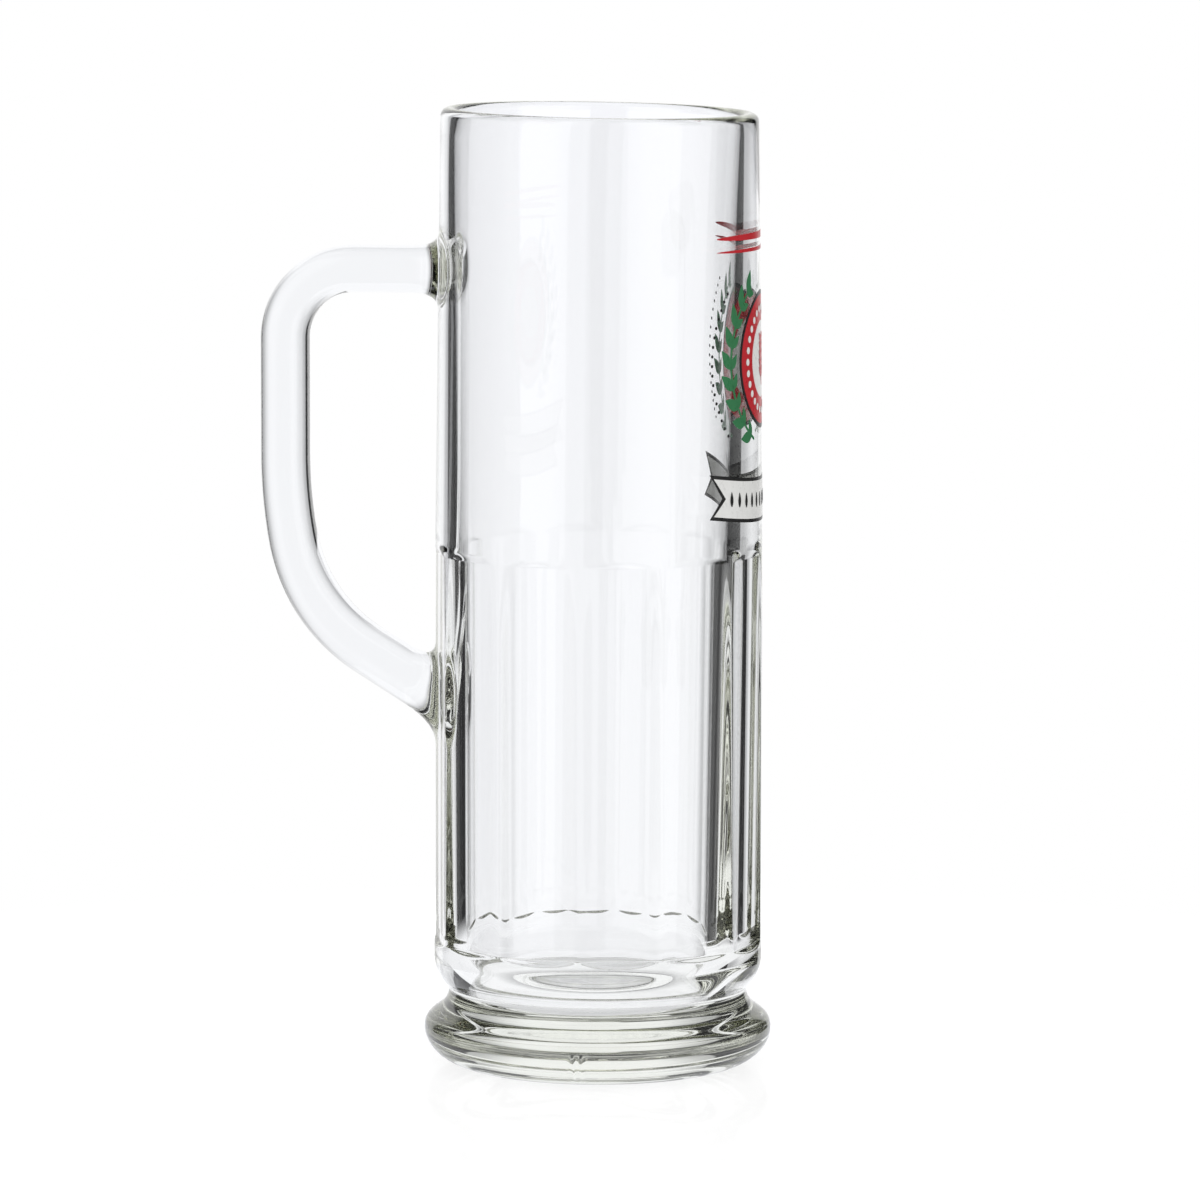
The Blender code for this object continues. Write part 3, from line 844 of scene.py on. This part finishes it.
def medallion_band(red):
    """Red band inside the line, and the red barley ear over the white field."""
    band = Surface()
    ring_skin(band, (0.0, MEDALLION_CENTRE), MEDALLION_FIELD, MEDALLION_RADIUS - MEDALLION_LINE)
    bottom = MEDALLION_CENTRE - EAR_BELOW_CENTRE
    leaf_skin(band, (0.0, bottom), math.pi / 2, EAR_LENGTH, EAR_STALK, OVERPRINT_LIFT)
    for pair in range(GRAIN_PAIRS):
        base = (0.0, bottom + GRAIN_START + GRAIN_PITCH * pair)
        for heading in (GRAIN_SLANT, math.pi - GRAIN_SLANT):
            leaf_skin(band, base, heading, GRAIN_LENGTH, GRAIN_WIDTH, OVERPRINT_LIFT)
    print_piece("print_medallion_band", band, red)


def medallion_field(white):
    """White field in the middle, and the white beads over the red band."""
    field = Surface()
    ring_skin(field, (0.0, MEDALLION_CENTRE), DISC_PINHOLE, MEDALLION_FIELD)
    beads = (MEDALLION_FIELD + MEDALLION_RADIUS - MEDALLION_LINE) / 2
    for angle in np.arange(BEAD_COUNT) * math.tau / BEAD_COUNT:
        place = round_medallion(beads, angle)
        ring_skin(field, place, DISC_PINHOLE, BEAD_RADIUS, steps=BEAD_STEPS, lift=OVERPRINT_LIFT)
    print_piece("print_medallion_field", field, white)


def wreath(node, side, green):
    """Spray of leaves up one side of the medallion, on a thin stem, with the inner leaves shorter."""
    surface = Surface()
    bottom = -math.pi / 2
    ends = sorted((bottom + side * WREATH_START, bottom + side * WREATH_END))
    inner = WREATH_RADIUS - STEM_WIDTH / 2
    outer = WREATH_RADIUS + STEM_WIDTH / 2
    ring_skin(surface, (0.0, MEDALLION_CENTRE), inner, outer, *ends, steps=STEM_STEPS)
    for index in range(WREATH_LEAVES):
        share = (index + FIRST_LEAF) / WREATH_LEAVES
        angle = bottom + side * (WREATH_START + (WREATH_END - WREATH_START) * share)
        base = round_medallion(WREATH_RADIUS, angle)
        tangent = angle + side * math.pi / 2
        for lean in LEAF_LEANS:
            size = 1.0 if lean * side < 0 else INNER_LEAF
            leaf_skin(surface, base, tangent + lean, size * LEAF_LENGTH, size * LEAF_WIDTH)
    print_piece(node, surface, green)


def ribbon_half_width(across):
    """Half length of the ribbon at a share of its half height, with its notched ends."""
    return RIBBON_HALF_WIDTH - RIBBON_NOTCH * (1 - np.abs(across))


def sagged(along, height):
    """Heights of the ribbon bent into a shallow bow."""
    return RIBBON_CENTRE + height - RIBBON_SAG * np.cos(along / RIBBON_HALF_WIDTH * math.pi / 2)


def ribbon(white):
    """White ribbon inside its black edge."""
    fill = Surface()
    across = np.linspace(-1.0, 1.0, RIBBON_POINTS[1])[None, :]
    share = np.linspace(-1.0, 1.0, RIBBON_POINTS[0])[:, None]
    along = share * (ribbon_half_width(across) - RIBBON_END_LINE)
    skin(fill, along, sagged(along, across * (RIBBON_HALF_HEIGHT - RIBBON_LINE)))
    print_piece("print_ribbon", fill, white)


def ribbon_loop(line, end_line):
    """Places round the notched ribbon, before it is bent, moved in by the width of its edge."""
    corners = [(-1, -1), (1, -1), (1, 0), (1, 1), (-1, 1), (-1, 0)]
    points = []
    for (side, level), (next_side, next_level) in zip(corners, corners[1:] + corners[:1]):
        for step in np.arange(EDGE_STEPS) / EDGE_STEPS:
            here = level + (next_level - level) * step
            reach = (side + (next_side - side) * step) * (ribbon_half_width(here) - end_line)
            points.append((reach, here * (RIBBON_HALF_HEIGHT - line)))
    return np.array(points)


def ribbon_edge(black):
    """Black edge of the ribbon, and a row of small lens-shaped marks on it."""
    edge = Surface()
    loops = (ribbon_loop(0.0, 0.0), ribbon_loop(RIBBON_LINE, RIBBON_END_LINE))
    along = np.column_stack([loop[:, 0] for loop in loops])
    height = np.column_stack([loop[:, 1] for loop in loops])
    skin(edge, along, sagged(along, height), closed=True)
    for place in np.linspace(-MARK_SPREAD, MARK_SPREAD, MARK_COUNT) * RIBBON_HALF_WIDTH:
        base = (place, sagged(place, -MARK_LENGTH / 2))
        leaf_skin(edge, base, math.pi / 2, MARK_LENGTH, MARK_WIDTH, OVERPRINT_LIFT)
    print_piece("print_ribbon_line", edge, black)


def rule(node, height, width, red):
    """Red rule with pointed ends."""
    surface = Surface()
    share = np.linspace(-RULE_TIP, RULE_TIP, RULE_POINTS[0])[:, None]
    across = np.linspace(-0.5, 0.5, RULE_POINTS[1])[None, :] * width * np.sqrt(1 - share ** 2)
    along = share * RULE_HALF_WIDTH * np.ones_like(across)
    skin(surface, along, height + across)
    print_piece(node, surface, red)


def print_design():
    """Fired print opposite the handle."""
    red = enamel("red_enamel", RED)
    green = enamel("green_enamel", GREEN)
    white = enamel("white_enamel", WHITE)
    black = enamel("black_enamel", BLACK)
    medallion_line(black)
    medallion_band(red)
    medallion_field(white)
    wreath("print_wreath_left", -1, green)
    wreath("print_wreath_right", 1, green)
    ribbon(white)
    ribbon_edge(black)
    rule("print_wide_rule", RULE_CENTRE + RULE_SPACING / 2, WIDE_RULE, red)
    rule("print_fine_rule", RULE_CENTRE - RULE_SPACING / 2, FINE_RULE, red)


def math_value(tree, operation, *values):
    """Output of one Math node fed by sockets or plain numbers."""
    node = tree.nodes.new("ShaderNodeMath")
    node.operation = operation
    for socket, value in zip(node.inputs, values):
        if isinstance(value, bpy.types.NodeSocket):
            tree.links.new(value, socket)
        else:
            socket.default_value = value
    return node.outputs[0]


def ramp(tree, value, low, high):
    """Smooth step of a value from 0 at low to 1 at high."""
    node = tree.nodes.new("ShaderNodeMapRange")
    node.interpolation_type = "SMOOTHSTEP"
    tree.links.new(value, node.inputs["Value"])
    node.inputs["From Min"].default_value = low
    node.inputs["From Max"].default_value = high
    return node.outputs["Result"]


def between(tree, value, low, high, soft):
    """1 between two limits and 0 outside them, with soft edges."""
    rising = ramp(tree, value, low - soft / 2, low + soft / 2)
    falling = ramp(tree, value, high + soft / 2, high - soft / 2)
    return math_value(tree, "MULTIPLY", rising, falling)


def stretches(tree, azimuth, elevation, limits, soft):
    """1 inside any of the given stretches of direction, in degrees, and 0 outside them."""
    white = 0.0
    for left, right, low, high in limits:
        across = between(tree, azimuth, left * DEG, right * DEG, soft * DEG)
        upright = between(tree, elevation, low * DEG, high * DEG, soft * DEG)
        white = math_value(tree, "MAXIMUM", math_value(tree, "MULTIPLY", across, upright), white)
    return white


def azimuth_and_elevation(tree):
    """Azimuth of a ray, from straight behind the mug and positive to the left, and its elevation."""
    direction = tree.nodes.new("ShaderNodeTexCoord").outputs["Generated"]
    split = tree.nodes.new("ShaderNodeSeparateXYZ")
    tree.links.new(direction, split.inputs[0])
    left = math_value(tree, "MULTIPLY", split.outputs["X"], -1.0)
    azimuth = math_value(tree, "ARCTAN2", left, split.outputs["Y"])
    return azimuth, math_value(tree, "ARCSINE", split.outputs["Z"])


def evenness(tree, azimuth):
    """Brightness of the screens behind the mug, which falls off towards their sides."""
    from_middle = math_value(tree, "ABSOLUTE", math_value(tree, "SUBTRACT", azimuth, SCREEN_MIDDLE * DEG))
    fall = ramp(tree, from_middle, SCREEN_EVEN * DEG, SCREEN_HALF * DEG)
    return math_value(tree, "MULTIPLY_ADD", fall, SCREEN_END - 1, 1.0)


def level_through_glass(tree, azimuth, elevation):
    """White screens in a dark room, as clear glass shows them."""
    behind = stretches(tree, azimuth, elevation, SCREENS, SCREEN_EDGE)
    behind = math_value(tree, "MULTIPLY", behind, evenness(tree, azimuth))
    around = stretches(tree, azimuth, elevation, SIDE_SCREENS, SCREEN_EDGE)
    screens = math_value(tree, "MAXIMUM", behind, around)
    return math_value(tree, "MULTIPLY_ADD", screens, 1 - ROOM_LEVEL, ROOM_LEVEL)


def level_mirrored(tree, azimuth, elevation):
    """Softboxes and the screen behind the mug, as glossy surfaces mirror them."""
    boxes = stretches(tree, azimuth, elevation, MIRRORED_SOFTBOXES, SOFTBOX_EDGE)
    screen = stretches(tree, azimuth, elevation, MIRRORED_SCREENS, MIRRORED_EDGE)
    room = math_value(tree, "MULTIPLY_ADD", boxes, SOFTBOX_LEVEL, ROOM_LEVEL)
    return math_value(tree, "MAXIMUM", room, screen)


def world():
    """White for the camera, even for diffuse light, and white only in stretches for glass and gloss."""
    scene_world = bpy.data.worlds.new("studio")
    bpy.context.scene.world = scene_world
    scene_world.use_nodes = True
    tree = scene_world.node_tree
    tree.nodes.clear()
    azimuth, elevation = azimuth_and_elevation(tree)
    through = level_through_glass(tree, azimuth, elevation)
    mirror = level_mirrored(tree, azimuth, elevation)
    path = tree.nodes.new("ShaderNodeLightPath").outputs
    level = math_value(tree, "MULTIPLY_ADD", path["Is Camera Ray"], 1 - FILL_LEVEL, FILL_LEVEL)
    # A ray through clear glass counts as glossy too, so the choice for transmission comes last
    for kind, value in ((path["Is Glossy Ray"], mirror), (path["Is Transmission Ray"], through)):
        choice = tree.nodes.new("ShaderNodeMix")
        tree.links.new(kind, choice.inputs["Factor"])
        tree.links.new(level, choice.inputs["A"])
        tree.links.new(value, choice.inputs["B"])
        level = choice.outputs["Result"]
    # After a diffuse bounce the room is even again, so that the back of the print is lit too
    scattered = math_value(tree, "MINIMUM", path["Diffuse Depth"], 1.0)
    level = math_value(tree, "MULTIPLY", level, math_value(tree, "SUBTRACT", 1.0, scattered))
    level = math_value(tree, "MULTIPLY_ADD", scattered, FILL_LEVEL, level)
    background = tree.nodes.new("ShaderNodeBackground")
    tint = tree.nodes.new("ShaderNodeMix")
    tint.data_type = "RGBA"
    tree.links.new(path["Is Transmission Ray"], tint.inputs["Factor"])
    tint.inputs["A"].default_value = (1.0, 1.0, 1.0, 1.0)
    tint.inputs["B"].default_value = SCREEN_COLOUR
    tree.links.new(tint.outputs["Result"], background.inputs["Color"])
    tree.links.new(level, background.inputs["Strength"])
    output = tree.nodes.new("ShaderNodeOutputWorld")
    tree.links.new(background.outputs[0], output.inputs["Surface"])


def mix(tree, share, first, second):
    """Output of one Mix Shader node."""
    node = tree.nodes.new("ShaderNodeMixShader")
    if isinstance(share, bpy.types.NodeSocket):
        tree.links.new(share, node.inputs["Fac"])
    else:
        node.inputs["Fac"].default_value = share
    tree.links.new(first, node.inputs[1])
    tree.links.new(second, node.inputs[2])
    return node.outputs[0]


def near_axis(tree, far, close):
    """1 on the table close to the mug's axis, and 0 far from it."""
    length = tree.nodes.new("ShaderNodeVectorMath")
    length.operation = "LENGTH"
    tree.links.new(tree.nodes.new("ShaderNodeNewGeometry").outputs["Position"], length.inputs[0])
    return ramp(tree, length.outputs["Value"], far, close)


def table_through_glass(tree):
    """White near the mug, with a painted shadow under it, and clear further out, where the glass shows the
    screens.
    """
    emission = tree.nodes.new("ShaderNodeEmission")
    emission.inputs["Color"].default_value = SCREEN_COLOUR
    clear = tree.nodes.new("ShaderNodeBsdfTransparent")
    # Painted shadow under the mug: the emission is darker within a small radius of the axis
    painted_shadow = near_axis(tree, PAINTED_SHADOW_RADIUS + CARD_EDGE, PAINTED_SHADOW_RADIUS - CARD_EDGE)
    strength = math_value(tree, "MULTIPLY_ADD", painted_shadow, PAINTED_SHADOW_LEVEL - 1, 1.0)
    tree.links.new(strength, emission.inputs["Strength"])
    near = near_axis(tree, CARD_RADIUS + CARD_EDGE, CARD_RADIUS - CARD_EDGE)
    return mix(tree, near, clear.outputs[0], emission.outputs[0])


def table_material():
    """White glossy board: white where nothing shades it, with a faint mirror image of the mug."""
    material = bpy.data.materials.new("table")
    material.use_nodes = True
    tree = material.node_tree
    tree.nodes.clear()
    path = tree.nodes.new("ShaderNodeLightPath").outputs
    emission = tree.nodes.new("ShaderNodeEmission")
    emission.inputs["Strength"].default_value = TABLE_GLOW
    diffuse = tree.nodes.new("ShaderNodeBsdfDiffuse")
    diffuse.inputs["Color"].default_value = TABLE_COLOUR
    glossy = tree.nodes.new("ShaderNodeBsdfGlossy")
    glossy.inputs["Roughness"].default_value = TABLE_ROUGHNESS
    lit = mix(tree, TABLE_SHADOW, emission.outputs[0], diffuse.outputs[0])
    polished = mix(tree, TABLE_GLOSS, lit, glossy.outputs[0])
    faded = mix(tree, near_axis(tree, FADE_END, FADE_START), emission.outputs[0], polished)
    plain = mix(tree, path["Is Diffuse Ray"], faded, diffuse.outputs[0])
    bent = math_value(tree, "MAXIMUM", path["Is Transmission Ray"], path["Is Glossy Ray"])
    # Through the glass and in its reflections the table shows a painted shadow under the mug
    through = mix(tree, bent, plain, table_through_glass(tree))
    output = tree.nodes.new("ShaderNodeOutputMaterial")
    tree.links.new(through, output.inputs["Surface"])
    return material


def table():
    """Round board under the mug, which is part of the studio."""
    angles = np.linspace(0.0, math.tau, TABLE_SIDES, endpoint=False)
    x = TABLE_RADIUS * np.cos(angles)
    y = TABLE_MIDDLE + TABLE_RADIUS * np.sin(angles)
    surface = Surface()
    surface.faces.append(tuple(surface.add(np.column_stack((x, y, np.full_like(x, -TABLE_DROP))))))
    mesh = surface.mesh("table")
    mesh.materials.append(table_material())
    add_object("table", mesh)


def softbox(name, azimuth):
    """Soft light on the print, at one side of the camera."""
    light = bpy.data.lights.new(name, "AREA")
    light.shape = "RECTANGLE"
    light.size, light.size_y = SOFTBOX_SIZE
    light.energy = SOFTBOX_POWER
    item = add_object(name, light)
    place = Vector((math.sin(azimuth), -math.cos(azimuth), SOFTBOX_RISE)) * SOFTBOX_DISTANCE
    item.location = place
    item.rotation_euler = (Vector((0.0, 0.0, SOFTBOX_AIM)) - place).to_track_quat("-Z", "Y").to_euler()
    item.visible_camera = False
    item.visible_glossy = False
    item.visible_transmission = False


def camera():
    """Long lens at the photograph's viewing angle."""
    data = bpy.data.cameras.new("camera")
    data.lens = CAMERA_LENS
    data.sensor_width = SENSOR
    data.clip_end = CAMERA_REACH
    item = add_object("camera", data)
    sine, cosine = math.sin(CAMERA_AZIMUTH), math.cos(CAMERA_AZIMUTH)
    aim = Vector((cosine * CAMERA_SIDE, sine * CAMERA_SIDE, CAMERA_AIM))
    item.location = (sine * CAMERA_DISTANCE, -cosine * CAMERA_DISTANCE, CAMERA_HEIGHT)
    turn = (aim - item.location).to_track_quat("-Z", "Y") @ Quaternion((0.0, 0.0, 1.0), CAMERA_ROLL)
    item.rotation_euler = turn.to_euler()
    bpy.context.scene.camera = item


def render_settings():
    """Plain view transform, and bounces enough for the walls but not for the rim, whose line stays dark."""
    scene = bpy.context.scene
    scene.view_settings.view_transform = "Standard"
    scene.cycles.max_bounces = GLASS_BOUNCES
    scene.cycles.transmission_bounces = GLASS_BOUNCES
    scene.cycles.glossy_bounces = GLASS_BOUNCES


glass()
print_design()
world()
table()
softbox("softbox_left", CAMERA_AZIMUTH - SOFTBOX_TURN)
softbox("softbox_right", CAMERA_AZIMUTH + SOFTBOX_TURN)
camera()
render_settings()
